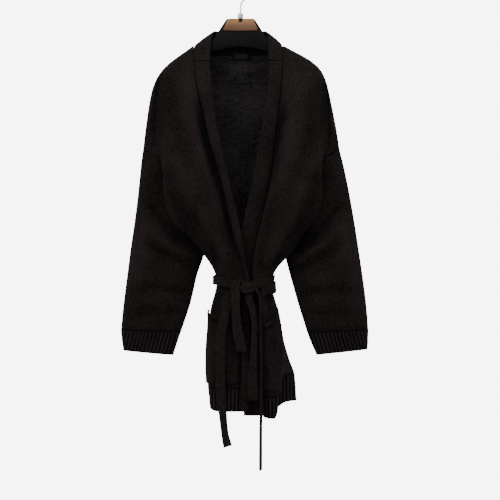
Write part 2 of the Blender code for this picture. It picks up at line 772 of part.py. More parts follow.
def build_torso(finishes):
    """Back, fronts, hems, bands and sleeves, each cut from shared seam lines."""
    grids, whole, whole_in = torso_with_hem()
    rows = len(ROWS)
    spans = {"front_right": slice(0, RIGHT_SEAM + 1), "back": slice(RIGHT_SEAM, LEFT_SEAM + 1),
             "front_left": slice(LEFT_SEAM, None)}
    source = {name: whole[:, span] for name, span in spans.items()}
    outers = {name: grid.copy() for name, grid in source.items()}
    inwards = {name: whole_in[:, span].copy() for name, span in spans.items()}
    outers["front_right"][:rows, -1] = grids[-1, "front"][:, -1]
    outers["front_left"][:rows, 0] = grids[1, "front"][:, -1]
    outers["back"][:rows, 0] = grids[-1, "back"][:, 0]
    outers["back"][:rows, -1] = grids[1, "back"][:, 0]
    armhole = slice(FIRST_ARMHOLE + 1, LAST_ARMHOLE)
    for name, crown, towards, seams in (
            ("front_right", CROWN_COLUMN, (0, 1, 0), (-1,)),
            ("front_left", -1 - CROWN_COLUMN, (0, 1, 0), (0,)),
            ("back", BACK_COUNT - 1, (0, -1, 0), (0, -1))):
        alone = facing(normals(outers[name]), MIDDLE_ROW, crown, towards)
        for column in seams:
            inwards[name][armhole, column] = alone[armhole, column]
    inners = {name: outers[name] + inwards[name] * WALL for name in spans}
    for name in spans:
        draw_in(outers[name], inners[name], axis=1, end=0)
        draw_in(outers[name], inners[name], axis=1, end=1)

    bands = {}
    for side, word in ((-1, "right"), (1, "left")):
        front = "front_" + word
        column, beside = (0, 1) if side < 0 else (-1, -2)
        seam = source[front][COLLAR_ROW:, column]
        band = band_grid(side, seam)
        band_in = facing(normals(band), MIDDLE_ROW, 1, (0, 1, 0))
        inner = band + band_in * BAND_WALL
        panel_lines, band_lines = split_seam(
            (seam, source[front][COLLAR_ROW:, beside], inwards[front][COLLAR_ROW:, column]),
            (band[:, 1], band_in[:, 0]), WALL, BAND_WALL)
        outers[front][COLLAR_ROW:, column], inners[front][COLLAR_ROW:, column] = panel_lines
        band[:, 0], inner[:, 0] = band_lines
        inner[0, :, 2] = band[0, :, 2]
        wall("front_band_" + word, band, inner, finishes["band"])
        bands[word] = band
        build_sleeve(side, word, outers, inners, inwards, grids, finishes)

    for name in spans:
        hem_outer, hem_inner = outers[name][rows - 1:].copy(), inners[name][rows - 1:].copy()
        build_hem(name, hem_outer, hem_inner, inwards[name][rows - 1:], finishes)
        outer, inner = outers[name][:rows], inners[name][:rows]
        draw_in(outer, inner, axis=0, end=1)
        wall(name + "_panel", outer, inner, finishes["knit"])
    return outers, inwards, bands


def build_sleeve(side, word, outers, inners, inwards, grids, finishes):
    """A sleeve from the armhole seam to the cuff, with both walls of the seam mitred."""
    a, u = FIRST_ARMHOLE, LAST_ARMHOLE
    front_name = "front_" + word
    front_line = grids[side, "front"][a:u + 1, -1]
    back_line = grids[side, "back"][a:u + 1, 0]
    front_beside = grids[side, "front"][a:u + 1, -2]
    back_beside = grids[side, "back"][a:u + 1, 1]
    steps = np.linalg.norm(np.diff(front_line, axis=0), axis=1)
    fractions = np.concatenate([[0], np.cumsum(steps) / steps.sum()])
    table = SLEEVE_RIGHT if side < 0 else SLEEVE_LEFT
    rings = [np.concatenate([front_line, back_line[-2:0:-1]])]
    rings += [sleeve_ring(side, row, fractions) for row in table[1]]
    sleeve = np.array(rings)
    sleeve_in = eased(normals(sleeve, ring=True), ring=True)
    sleeve_in = facing(sleeve_in, 4, 3, sleeve[4].mean(axis=0) - sleeve[4, 3])
    inner = sleeve + sleeve_in * WALL
    count = len(front_line)
    front_places = list(range(count))
    back_places = [0] + list(range(2 * count - 3, count - 2, -1))
    front_column, back_column = (-1, 0) if side < 0 else (0, -1)
    for places, line, beside, name, column in (
            (front_places, front_line, front_beside, front_name, front_column),
            (back_places, back_line, back_beside, "back", back_column)):
        panel_lines, sleeve_lines = split_seam(
            (line, beside, inwards[name][a:u + 1, column]), (sleeve[1][places], sleeve_in[0][places]))
        outers[name][a + 1:u - 1, column] = panel_lines[0][1:-2]
        inners[name][a + 1:u - 1, column] = panel_lines[1][1:-2]
        for k in range(1, count - 2):
            sleeve[0, places[k]] = sleeve_lines[0][k]
            inner[0, places[k]] = sleeve_lines[1][k]
    for k in (0, count - 2, count - 1, count):
        step = unit(sleeve[1, k] - sleeve[0, k]) * TIP_GAP
        sleeve[0, k] += step
        inner[0, k] += step
    draw_in(sleeve, inner, axis=0, end=1)
    wall("sleeve_" + word, sleeve, inner, finishes["knit"], ring=True)
    build_cuff(side, word, fractions, sleeve_in[-1], finishes)


def subdivide_columns(row, counts, ring=False):
    """Splits each span of a row into equal steps."""
    points = []
    last = len(row)
    for j, count in enumerate(counts):
        start, end = row[j], row[(j + 1) % last]
        points += [mix(start, end, k / count) for k in range(count)]
    if not ring:
        points.append(row[-1])
    return np.array(points)


def raise_ribs(outer, inward):
    """Moves every second inner column of a grid out, less at its top row."""
    for i, share in enumerate((0.4, 1, 1)):
        outer[i, 1:-1:2] -= inward[i, 1:-1:2] * RIB_HEIGHT * share


def build_cuff(side, word, fractions, top_in, finishes):
    rows = CUFF_RIGHT if side < 0 else CUFF_LEFT
    rings = [sleeve_ring(side, row, fractions) for row in rows]
    counts = [2 * RIBS_PER_CUFF_FACET] * len(rings[0])
    outer = np.array([subdivide_columns(row, counts, ring=True) for row in rings])
    inward = facing(normals(outer, ring=True), 1, 5, outer[1].mean(axis=0) - outer[1, 5])
    inward[0] = unit(subdivide_columns(top_in, counts, ring=True))
    inner = outer + inward * WALL
    raise_ribs(outer, inward)
    draw_in(outer, inner, axis=0, end=0)
    wall("cuff_" + word, outer, inner, finishes["rib"], ring=True)


def build_hem(name, outer, inner, inward, finishes):
    """A ribbed band under one panel, its ribs raised over a plain inside."""
    lengths = np.linalg.norm(np.diff(outer[1], axis=0), axis=1)
    counts = [max(2, 2 * round(length / HEM_RIB_PITCH)) for length in lengths]
    outer = np.array([subdivide_columns(row, counts) for row in outer])
    inner = np.array([subdivide_columns(row, counts) for row in inner])
    raise_ribs(outer, unit(np.array([subdivide_columns(row, counts) for row in inward])))
    draw_in(outer, inner, axis=0, end=0)
    hem = "hem_back" if name == "back" else "hem_" + name
    wall(hem, outer, inner, finishes["rib"])


def build_collar(finishes):
    """The band's stretch over the shoulders and round the back of the neck."""
    rows_right = np.array(COLLAR_RIGHT[1], float)
    rows_left = np.array(COLLAR_LEFT[1], float)
    rows_right[:, [0, 3]] *= -1
    path = np.concatenate([rows_right, rows_left[-2::-1]])
    line = smooth_line(path, np.arange(0, len(path) - 0.5, 0.5))
    seam, free = line[:, :3], line[:, 3:]
    away = unit((seam + free) / 2 - np.array(COLLAR_MIDDLE))
    for end, side in ((0, -1), (-1, 1)):
        away[end] = band_front(side)
    near, far = (mix(seam, free, share) + away * COLLAR_BOW for share in COLLAR_COLUMNS)
    grid = np.stack([seam, near, far, free], axis=1)
    inward = facing(normals(grid), len(line) // 2, 1, (0, -1, 0))
    inner = grid + inward * BAND_WALL
    inner[0, :, 2] = grid[0, :, 2]
    inner[-1, :, 2] = grid[-1, :, 2]
    grid[[0, -1], :, 2] += SEAM_GAP
    inner[[0, -1], :, 2] += SEAM_GAP
    draw_in(grid, inner, axis=1, end=0, gap=COLLAR_SEAM_GAP)
    wall("collar_back", grid, inner, finishes["band"])


def build_pocket(side, torso, finishes):
    """A patch pocket from the front's own points moved out, its banded mouth standing off."""
    word = "right" if side < 0 else "left"
    outers, inwards, _ = torso
    table, columns = (POCKET_RIGHT, POCKET_RIGHT_COLUMNS) if side < 0 else (POCKET_LEFT, POCKET_LEFT_COLUMNS)
    grid = outers["front_" + word][:len(ROWS)]
    inward = inwards["front_" + word][:len(ROWS)]
    if side > 0:
        grid, inward = grid[:, ::-1], inward[:, ::-1]
    outer, inner = [], []
    for k, column in enumerate(columns):
        place = FRONT_COLUMNS.index(column)
        line, line_in = grid[:, place], inward[:, place]
        heights = -line[:, 2]
        at = look_up(table, k / (len(columns) - 1))
        mouth, bottom = at["mouth"], at["bottom"]
        band_foot = mouth - POCKET_BAND_HEIGHT
        rows = [(mouth, 1, 1), (mouth - 2, 1, 1), (band_foot, POCKET_GAPE_BELOW, 1),
                (band_foot - 1.2, POCKET_GAPE_BELOW, 0)]
        kept = [line[ROWS.index(z), 2] for z in POCKET_ROWS]
        for z in [(band_foot + kept[0]) / 2] + kept + [bottom]:
            below = (band_foot - z) / (band_foot - bottom)
            rows.append((z, POCKET_GAPE_BELOW * (1 - below) ** 1.5, 0))
        column_outer, column_inner = [], []
        for z, gape, rise in rows:
            point = np.array([np.interp(-z, heights, line[:, axis]) for axis in range(3)])
            away = -unit(np.array([np.interp(-z, heights, line_in[:, axis]) for axis in range(3)]))
            lift = POCKET_LIFT + gape * at["gape"]
            column_inner.append(point + away * lift)
            column_outer.append(point + away * (lift + WALL + rise * POCKET_BAND_RISE))
        outer.append(column_outer)
        inner.append(column_inner)
    outer = np.swapaxes(np.array(outer), 0, 1)
    inner = np.swapaxes(np.array(inner), 0, 1)
    wall("pocket_" + word, outer, inner, finishes["knit"])


def build_label(finishes):
    """A bare label on the inside of the back, from the neck seam down."""
    outer = []
    for y, z in LABEL_ROWS:
        outer.append([(LABEL_MIDDLE + share * LABEL_HALF_WIDTH, y, z) for share in (-1, -0.4, 0.4, 1)])
    outer = np.array(outer, float)
    wall("neck_label", outer, outer + np.array([0, LABEL_WALL, 0]), finishes["label"])


def hull_radii(points, angles):
    """Distance from the waist's middle to the tight outline round the points, by direction."""
    points = np.array(sorted(set(map(tuple, points - np.array(WAIST_MIDDLE)))))
    hull = []
    for half in (points, points[::-1]):
        chain = []
        for x, y in half:
            while len(chain) > 1 and ((chain[-1][0] - chain[-2][0]) * (y - chain[-2][1])
                                      - (chain[-1][1] - chain[-2][1]) * (x - chain[-2][0])) <= 0:
                chain.pop()
            chain.append((x, y))
        hull += chain[:-1]
    hull = np.array(hull)
    edges = np.roll(hull, -1, 0) - hull
    outward = unit(np.stack([edges[:, 1], -edges[:, 0]], axis=1))
    reach = np.sum(outward * hull, axis=1)
    radii = []
    for angle in angles:
        ray = np.array([math.cos(math.radians(angle)), math.sin(math.radians(angle))])
        facing_ray = outward @ ray
        ahead = facing_ray > 1e-6
        radii.append(np.min(reach[ahead] / facing_ray[ahead]))
    radii = np.array(radii)
    turns = np.radians(angles)
    rays = np.stack([np.cos(turns), np.sin(turns)], axis=1)
    for k in range(len(angles)):
        following = (k + 1) % len(angles)
        here, there = rays[k] * radii[k], rays[following] * radii[following]
        across = unit(np.array([there[1] - here[1], here[0] - there[0]]))
        past = rays[k][0] * hull[:, 1] - rays[k][1] * hull[:, 0]
        before = hull[:, 0] * rays[following][1] - hull[:, 1] * rays[following][0]
        between = (hull @ (rays[following] + rays[k]) > 0) & (past > 0) & (before > 0)
        if between.any():
            short = max(np.max((hull[between] - here) @ across), 0)
            radii[k] += short / (across @ rays[k])
            radii[following] += short / (across @ rays[following])
    return radii


def belt_wrap(torso, angles, heights, lift):
    """Outer and inner points of one turn of the belt round the waist."""
    outers, _, bands = torso
    per_row = []
    for z in WAIST_ROWS:
        row = ROWS.index(z)
        around = [outers[name][row] for name in outers]
        around += [band[row - COLLAR_ROW] for band in bands.values()]
        per_row.append(hull_radii(np.concatenate(around)[:, :2], angles))
    per_row = np.array(per_row)
    grids = []
    for layer in (lift + BELT_WALL, lift):
        rows = []
        for offset in (BELT_HALF_WIDTH, 0, -BELT_HALF_WIDTH):
            row = []
            for k, angle in enumerate(angles):
                z = heights[k] + offset
                radius = np.interp(-z, [-row_z for row_z in WAIST_ROWS], per_row[:, k]) + layer
                turn = math.radians(angle)
                x, y = radius * math.cos(turn), radius * math.sin(turn)
                row.append((WAIST_MIDDLE[0] + x, WAIST_MIDDLE[1] + y, z))
            rows.append(row)
        grids.append(np.array(rows))
    return grids


def build_wraps(torso, finishes):
    """The belt's two turns: one all round, one over it from one side of the knot to the other."""
    angles = np.arange(WRAP_STEPS) * 360 / WRAP_STEPS
    heights = [look_up(WRAP_INNER, angle)["height"] for angle in angles]
    outer, inner = belt_wrap(torso, angles, heights, BELT_LIFT)
    wall("belt_wrap_inner", outer, inner, finishes["belt"], ring=True)
    first, last = WRAP_OUTER[1][0][0], WRAP_OUTER[1][-1][0]
    angles = np.concatenate([angles - 360, angles])
    angles = angles[(angles >= first) & (angles <= last)]
    heights = [look_up(WRAP_OUTER, angle)["height"] for angle in angles]
    outer, inner = belt_wrap(torso, angles, heights, BELT_LIFT + BELT_LAYER)
    wall("belt_wrap_outer", outer, inner, finishes["belt"])


def build_hanging(name, table, finish):
    """A flat length of belt along a path, turned as its rows say."""
    rows = np.array(table[1], float)
    line = smooth_line(rows, np.arange(0, len(rows) - 0.5, 0.5))
    path, half, turn = line[:, :3], line[:, 3], np.radians(line[:, 4])
    across = np.stack([np.cos(turn), np.sin(turn), np.zeros(len(turn))], axis=1)
    along = unit(np.gradient(path, axis=0))
    across = unit(across - along * np.sum(across * along, axis=1, keepdims=True))
    thick = unit(np.cross(along, across)) * BELT_WALL / 2
    middle = np.stack([path + across * (half * share)[:, None] for share in (-1, 0, 1)], axis=1)
    thick = thick[:, None, :]
    wall(name, middle + thick, middle - thick, finish)


def loft(name, rings, finish):
    """A solid through rings of points, closed with flat ends."""
    rings = np.asarray(rings, float) * MM
    count, around = rings.shape[:2]
    vertices = list(rings.reshape(-1, 3))
    faces = [tuple(range(around)), tuple(range((count - 1) * around, count * around))]
    for i in range(count - 1):
        for j in range(around):
            a, b = i * around + j, i * around + (j + 1) % around
            faces += [(a, b, b + around), (a, b + around, a + around)]
    return mesh_object(name, vertices, faces, finish)


def build_knot(finishes):
    """Two rolls of belt side by side with a strand over them."""
    rings = []
    for share in (-0.98, -0.85, -0.6, -0.3, 0, 0.3, 0.6, 0.85, 0.98):
        size = (1 - abs(share) ** 3) ** 0.5
        strand = KNOT_STRAND * math.exp(-(share / 0.35) ** 2)
        ring = []
        for k in range(KNOT_STEPS):
            turn = math.tau * k / KNOT_STEPS
            y = KNOT_HALF[1] * size * math.copysign(abs(math.sin(turn)) ** 0.7, math.sin(turn))
            z = KNOT_HALF[2] * size * math.copysign(abs(math.cos(turn)) ** 0.8, math.cos(turn))
            if y < 0:
                groove = KNOT_GROOVE * math.exp(-(z / 4 - share) ** 2) * size
                y += groove - strand
            ring.append(np.array(KNOT_MIDDLE) + np.array([share * KNOT_HALF[0], y, z]))
        rings.append(ring)
    loft("belt_knot", rings, finishes["belt"])


def build_hanger(finishes):
    """The hanger: body, plate, ferrule and hook."""
    stations = HANGER_LINE[1]
    rings = []
    for x, top, bottom, half in [(-x, *rest) for x, *rest in stations[:0:-1]] + list(stations):
        middle, tall = (top + bottom) / 2, (top - bottom) / 2
        soft = min(3, tall * 0.4, half * 0.4)
        corners = ((half, tall - soft), (half - soft * 0.3, tall - soft * 0.3), (half - soft, tall))
        ring = [(x, -y, middle + z) for y, z in corners]
        ring += [(x, y, middle + z) for y, z in corners[::-1]]
        ring += [(x, y, middle - z) for y, z in corners]
        ring += [(x, -y, middle - z) for y, z in corners[::-1]]
        rings.append(ring)
    loft("hanger_body", rings, finishes["lacquer"])
    build_face(-stations[0][3] - SEAM_GAP, finishes)
    build_ferrule(finishes)
    build_hook(finishes)


def build_face(front, finishes):
    """The pale plate on the front of the hanger's head, notched for the hook's foot."""
    outline = list(FACE_OUTLINE) + [(-x, z) for x, z in FACE_OUTLINE[-2::-1]]
    vertices = [(x * MM, front * MM, z * MM) for x, z in outline]
    face = tuple(range(len(vertices)))
    plate = mesh_object("hanger_face", vertices, [face], finishes["wood"], smooth=False)
    if plate.data.polygons[0].normal.y > 0:
        plate.data.flip_normals()
    thicken = plate.modifiers.new("thickness", "SOLIDIFY")
    thicken.thickness = FACE_THICKNESS * MM
    thicken.offset = 1


def build_ferrule(finishes):
    """The short sleeve round the foot of the hook."""
    bpy.ops.mesh.primitive_cylinder_add(vertices=24, radius=FERRULE_RADIUS * MM,
                                        depth=(FERRULE_TOP - SHAFT_FOOT) * MM,
                                        location=(0, 0, (FERRULE_TOP + SHAFT_FOOT) / 2 * MM))
    ferrule = bpy.context.object
    ferrule.name = "hanger_ferrule"
    ferrule.data.name = "hanger_ferrule"
    bpy.ops.mesh.primitive_cylinder_add(vertices=24, radius=FERRULE_BORE * MM, depth=4 * FERRULE_RADIUS * MM,
                                        location=(0, 0, (FERRULE_TOP + SHAFT_FOOT) / 2 * MM))
    drill = bpy.context.object
    drill.name = "ferrule_bore_cutter"
    bore = ferrule.modifiers.new("bore", "BOOLEAN")
    bore.object = drill
    bore.solver = "EXACT"
    drill.hide_render = True
    drill.display_type = "WIRE"
    for thing, home in ((ferrule, PARTS), (drill, CUTTERS)):
        for other in list(thing.users_collection):
            other.objects.unlink(thing)
        home.objects.link(thing)
    ferrule.data.materials.append(finishes["steel"])
    ferrule.data.shade_smooth()
    ferrule.data.set_sharp_from_angle(angle=math.radians(40))


def build_hook(finishes):
    """The hook: a straight foot, a bend to one side and a round end open to the other."""
    points = [(0, SHAFT_FOOT), (0, -70)] + list(HOOK_BEND)
    for k in range(13):
        turn = math.radians(mix(HOOK_START_ANGLE, HOOK_END_ANGLE, k / 12))
        x, z = HOOK_MIDDLE_RADIUS * math.cos(turn), HOOK_MIDDLE_RADIUS * math.sin(turn)
        points.append((x, z - HOOK_INNER_RADIUS))
    curve = bpy.data.curves.new("hanger_hook", "CURVE")
    curve.dimensions = "3D"
    curve.bevel_depth = HOOK_WIRE / 2 * MM
    curve.bevel_resolution = 2
    curve.use_fill_caps = True
    spline = curve.splines.new("POLY")
    spline.points.add(len(points) - 1)
    for k, (x, z) in enumerate(points):
        spline.points[k].co = (x * MM, 0, z * MM, 1)
    spline.use_smooth = True
    curve.materials.append(finishes["steel"])
    PARTS.objects.link(bpy.data.objects.new("hanger_hook", curve))


def clear_scene():
    for thing in list(bpy.data.objects):
        bpy.data.objects.remove(thing, do_unlink=True)


clear_scene()
PARTS = bpy.data.collections.new("cardigan_on_hanger")
bpy.context.scene.collection.children.link(PARTS)
CUTTERS = bpy.data.collections.new("cutters")
bpy.context.scene.collection.children.link(CUTTERS)


def main():
    finishes = {
        "knit": material("black_knit", (0.012, 0.010, 0.010), 0.95),
        "rib": material("black_rib_knit", (0.011, 0.009, 0.009), 0.95),
        "band": material("black_band_knit", (0.013, 0.011, 0.011), 0.95),
        "belt": material("black_belt_knit", (0.013, 0.011, 0.011), 0.95),
        "label": material("black_label", (0.01, 0.01, 0.01), 0.8),
        "lacquer": material("black_lacquer", (0.01, 0.009, 0.008), 0.35),
        "wood": material("pale_wood", (0.28, 0.17, 0.09), 0.5),
        "steel": material("brushed_steel", (0.55, 0.53, 0.5), 0.35, 1.0),
    }
    torso = build_torso(finishes)
    build_collar(finishes)
    for side in (-1, 1):
        build_pocket(side, torso, finishes)
    build_label(finishes)
    build_wraps(torso, finishes)
    build_knot(finishes)
    build_hanging("belt_loop_right", LOOP_RIGHT, finishes["belt"])
    build_hanging("belt_loop_left", LOOP_LEFT, finishes["belt"])
    build_hanging("belt_tail_right", TAIL_RIGHT, finishes["belt"])
    build_hanging("belt_tail_left", TAIL_LEFT, finishes["belt"])
    build_hanger(finishes)


main()
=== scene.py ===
"""Looks of a wrap cardigan with a tied belt on a wide wooden hanger.

Metres, +Z up, front towards -Y, wearer's right at -X. The origin is the seat of the hanger's hook.
Each cloth piece is a finer skin of its solid, with the folds pressed into all pieces together so
that the seams stay shut, and knit laid along each piece's own direction.
"""
import math

import bmesh
import bpy
import numpy as np
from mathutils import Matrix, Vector
from mathutils.bvhtree import BVHTree


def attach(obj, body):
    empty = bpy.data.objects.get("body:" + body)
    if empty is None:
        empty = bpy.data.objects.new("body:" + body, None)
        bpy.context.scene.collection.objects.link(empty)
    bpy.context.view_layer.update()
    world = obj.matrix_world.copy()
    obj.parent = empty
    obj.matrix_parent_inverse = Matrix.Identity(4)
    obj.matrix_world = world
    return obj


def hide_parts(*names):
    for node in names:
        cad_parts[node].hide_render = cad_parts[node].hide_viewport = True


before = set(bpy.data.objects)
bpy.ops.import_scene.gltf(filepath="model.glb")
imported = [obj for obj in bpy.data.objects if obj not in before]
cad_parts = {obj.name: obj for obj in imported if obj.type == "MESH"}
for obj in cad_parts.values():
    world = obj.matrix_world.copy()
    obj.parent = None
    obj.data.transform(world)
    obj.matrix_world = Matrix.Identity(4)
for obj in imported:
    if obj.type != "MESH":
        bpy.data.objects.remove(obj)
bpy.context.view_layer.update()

MERGE = 0.00002
SHARP_EDGE = math.radians(48)

# How far a sleeve is let into its armhole
SLEEVE_CLOSE = 0.0010

# How far the belt rises from the knot to the right side
BELT_LIFT = 0.011

# Height and swell of the rolled band at a pocket's mouth
MOUTH_HEIGHT = 0.013
MOUTH_SWELL = 0.0045

# How much the ribs are deepened
RIB_GAIN = 0.0008
RIB_PITCH = 0.0088

# Knit: width of a wale and height of a course, in metres
WALE = 0.0026
COURSE = 0.0019
BAND_WALE = 0.0031
BAND_COURSE = 0.0023

# Folds pressed into the cloth: x and z of a line over the front or the back, reach to each side,
# depth, negative for a trough and positive for a ridge. Metres.
FRONT_FOLDS = (
    ("under the edge of the right band", ((-0.096, -0.300), (-0.086, -0.382), (-0.068, -0.454), (-0.044, -0.538), (-0.020, -0.622), (-0.004, -0.675)), 0.007, -0.0045),
    ("beside the edge of the left band", ((0.108, -0.330), (0.096, -0.420), (0.072, -0.519)), 0.008, -0.0040),
    ("from the right armhole down to the knot", ((-0.178, -0.470), (-0.120, -0.600), (-0.055, -0.690)), 0.020, -0.0050),
    ("ridge beside it", ((-0.150, -0.440), (-0.085, -0.580), (-0.035, -0.680)), 0.018, 0.0035),
    ("short pull above the right waist", ((-0.110, -0.560), (-0.060, -0.650), (-0.040, -0.700)), 0.011, -0.0030),
    ("second pull above the right waist", ((-0.045, -0.560), (-0.025, -0.640), (-0.015, -0.705)), 0.012, -0.0028),
    ("right shoulder, soft dent", ((-0.190, -0.230), (-0.150, -0.330), (-0.135, -0.430)), 0.030, -0.0035),
    ("right chest, soft swell", ((-0.120, -0.250), (-0.090, -0.400), (-0.075, -0.520)), 0.034, 0.0035),
    ("from the left armhole down to the knot", ((0.185, -0.480), (0.140, -0.610), (0.075, -0.695)), 0.020, -0.0050),
    ("ridge beside it, left", ((0.165, -0.450), (0.115, -0.590), (0.060, -0.685)), 0.017, 0.0032),
    ("pull above the left waist", ((0.125, -0.590), (0.090, -0.660), (0.060, -0.705)), 0.010, -0.0030),
    ("second pull, left", ((0.080, -0.520), (0.062, -0.620), (0.048, -0.700)), 0.012, -0.0025),
    ("left shoulder, soft dent", ((0.200, -0.240), (0.165, -0.340), (0.150, -0.440)), 0.030, -0.0035),
    ("left chest, soft swell", ((0.135, -0.260), (0.115, -0.400), (0.100, -0.520)), 0.034, 0.0035),
    ("gather above the belt, far right", ((-0.064, -0.640), (-0.058, -0.712)), 0.006, -0.0032),
    ("gather above the belt, right", ((-0.040, -0.650), (-0.042, -0.712)), 0.006, 0.0026),
    ("gather above the belt, left", ((0.050, -0.650), (0.050, -0.712)), 0.006, -0.0032),
    ("gather above the belt, far left", ((0.082, -0.640), (0.072, -0.708)), 0.006, 0.0028),
    ("right skirt, pull from the belt", ((-0.050, -0.750), (-0.060, -0.800), (-0.066, -0.860)), 0.009, -0.0030),
    ("right skirt, second pull", ((-0.015, -0.750), (-0.012, -0.830), (-0.016, -0.930)), 0.010, -0.0030),
    ("right skirt, ridge", ((-0.032, -0.748), (-0.036, -0.775)), 0.008, 0.0022),
    ("left skirt, pull from the belt", ((0.066, -0.750), (0.074, -0.820), (0.078, -0.900)), 0.009, -0.0030),
    ("left skirt, second pull", ((0.052, -0.752), (0.056, -0.850), (0.060, -0.950)), 0.009, 0.0025),
)
BACK_FOLDS = (
    ("ridge under the label", ((-0.066, -0.193), (0.000, -0.203), (0.066, -0.193)), 0.006, 0.0030),
    ("trough below it", ((-0.062, -0.214), (0.000, -0.225), (0.062, -0.213)), 0.007, -0.0035),
    ("from the right armhole to the waist", ((-0.180, -0.470), (-0.115, -0.600), (-0.045, -0.700)), 0.020, -0.0050),
    ("ridge beside it", ((-0.150, -0.430), (-0.085, -0.580), (-0.025, -0.695)), 0.018, 0.0038),
    ("from the left armhole to the waist", ((0.188, -0.480), (0.135, -0.610), (0.070, -0.700)), 0.020, -0.0050),
    ("ridge beside it, left", ((0.160, -0.440), (0.105, -0.590), (0.050, -0.697)), 0.018, 0.0038),
    ("middle pull to the waist", ((0.000, -0.500), (0.008, -0.610), (0.012, -0.705)), 0.016, -0.0035),
    ("right of the middle", ((-0.040, -0.540), (-0.022, -0.630), (-0.012, -0.705)), 0.012, 0.0028),
    ("left of the middle", ((0.052, -0.540), (0.040, -0.630), (0.034, -0.705)), 0.012, 0.0028),
    ("right shoulder blade, soft dent", ((-0.190, -0.230), (-0.140, -0.330), (-0.110, -0.450)), 0.032, -0.0035),
    ("left shoulder blade, soft dent", ((0.195, -0.240), (0.150, -0.340), (0.125, -0.450)), 0.032, -0.0035),
    ("across under the neck", ((-0.070, -0.225), (0.000, -0.245), (0.070, -0.225)), 0.018, -0.0025),
)
SLEEVE_FOLDS = (
    ("right, from the underarm", ((-0.110, -0.640), (-0.170, -0.600), (-0.225, -0.530)), 0.015, -0.0045),
    ("right, second from the underarm", ((-0.115, -0.680), (-0.175, -0.660), (-0.235, -0.620)), 0.014, -0.0035),
    ("right, between them", ((-0.120, -0.660), (-0.175, -0.632), (-0.225, -0.580)), 0.011, 0.0030),
    ("right, elbow", ((-0.140, -0.745), (-0.200, -0.735), (-0.262, -0.745)), 0.014, -0.0035),
    ("right, below the elbow", ((-0.150, -0.790), (-0.210, -0.790), (-0.268, -0.805)), 0.012, -0.0028),
    ("right, along the arm", ((-0.225, -0.560), (-0.240, -0.680), (-0.255, -0.800)), 0.020, 0.0030),
    ("left, from the underarm", ((0.128, -0.650), (0.185, -0.605), (0.240, -0.530)), 0.015, -0.0045),
    ("left, second from the underarm", ((0.135, -0.690), (0.192, -0.665), (0.255, -0.620)), 0.014, -0.0035),
    ("left, between them", ((0.138, -0.670), (0.190, -0.640), (0.245, -0.585)), 0.011, 0.0030),
    ("left, elbow", ((0.158, -0.750), (0.218, -0.738), (0.280, -0.745)), 0.014, -0.0035),
    ("left, below the elbow", ((0.172, -0.795), (0.230, -0.792), (0.288, -0.805)), 0.012, -0.0028),
    ("left, along the arm", ((0.242, -0.560), (0.262, -0.680), (0.276, -0.800)), 0.020, 0.0030),
)

# How strongly the folds of the body and of the sleeves are pressed
FRONT_GAIN = 1.25
SLEEVE_GAIN = 1.5


class Value:
    """A shader socket that takes part in Python expressions."""

    def __init__(self, tree, socket):
        self.tree = tree
        self.socket = socket

    def node(self, kind, settings=None, **values):
        made = self.tree.nodes.new(kind)
        for key, setting in (settings or {}).items():
            if key == "ramp":
                ramp = made.color_ramp
                while len(ramp.elements) < len(setting):
                    ramp.elements.new(0.5)
                for element, (place, colour) in zip(ramp.elements, setting):
                    element.position = place
                    element.color = (*colour, 1)
            else:
                setattr(made, key, setting)
        for key, value in values.items():
            slot = made.inputs[int(key[1:])] if key[0] == "i" and key[1:].isdigit() else made.inputs[key.replace("_", " ")]
            if isinstance(value, Value):
                self.tree.links.new(value.socket, slot)
            else:
                slot.default_value = value
        return made

    def wrap(self, socket):
        return Value(self.tree, socket)

    def maths(self, operation, *operands):
        values = {f"i{k}": operand for k, operand in enumerate(operands)}
        return self.wrap(self.node("ShaderNodeMath", {"operation": operation}, **values).outputs[0])

    def __add__(self, other):
        return self.maths("ADD", self, other)

    __radd__ = __add__

    def __mul__(self, other):
        return self.maths("MULTIPLY", self, other)

    __rmul__ = __mul__

    def __sub__(self, other):
        return self.maths("SUBTRACT", self, other)

    def __rsub__(self, other):
        return self.maths("SUBTRACT", other, self)

    def __truediv__(self, other):
        return self.maths("DIVIDE", self, other)

    def __pow__(self, other):
        return self.maths("POWER", self, other)

    def __abs__(self):
        return self.maths("ABSOLUTE", self)

    def fraction(self):
        return self.maths("FRACT", self)

    def sine(self):
        return self.maths("SINE", self)

    def clamped(self):
        return self.wrap(self.node("ShaderNodeClamp", i0=self).outputs[0])

    def between(self, low, high):
        """0 below low, 1 above high, smooth between."""
        made = self.node("ShaderNodeMapRange", {"interpolation_type": "SMOOTHSTEP"}, i0=self, i1=low, i2=high)
        return self.wrap(made.outputs[0])

    def mixed(self, first, second):
        """Two values or numbers, mixed by this one."""
        return first + self * (second - first) if isinstance(first, Value) else self * (second - first) + first

    def coloured(self, first, second):
        """Two colours mixed by this value."""
        made = self.node("ShaderNodeMix", {"data_type": "RGBA"}, i0=self)
        for slot, colour in ((made.inputs[6], first), (made.inputs[7], second)):
            if isinstance(colour, Value):
                self.tree.links.new(colour.socket, slot)
            else:
                slot.default_value = (*colour, 1)
        return self.wrap(made.outputs[2])


def finish_of(name, roughness=0.9, **constants):
    """A new material: its shader, and a value to start expressions from."""
    made = bpy.data.materials.new(name)
    made.use_nodes = True
    tree = made.node_tree
    shader = tree.nodes["Principled BSDF"]
    shader.inputs["Roughness"].default_value = roughness
    for key, value in constants.items():
        shader.inputs[key.replace("_", " ")].default_value = value
    return made, shader, Value(tree, None)


def set_relief(start, shader, height, distance, strength=1.0):
    bump = start.node("ShaderNodeBump", Height=height, Distance=distance, Strength=strength)
    start.tree.links.new(bump.outputs[0], shader.inputs["Normal"])


def object_noise(start, scale, detail=3.0):
    coordinates = start.wrap(start.node("ShaderNodeTexCoord").outputs["Object"])
    return start.wrap(start.node("ShaderNodeTexNoise", Vector=coordinates, Scale=scale, Detail=detail).outputs[0])


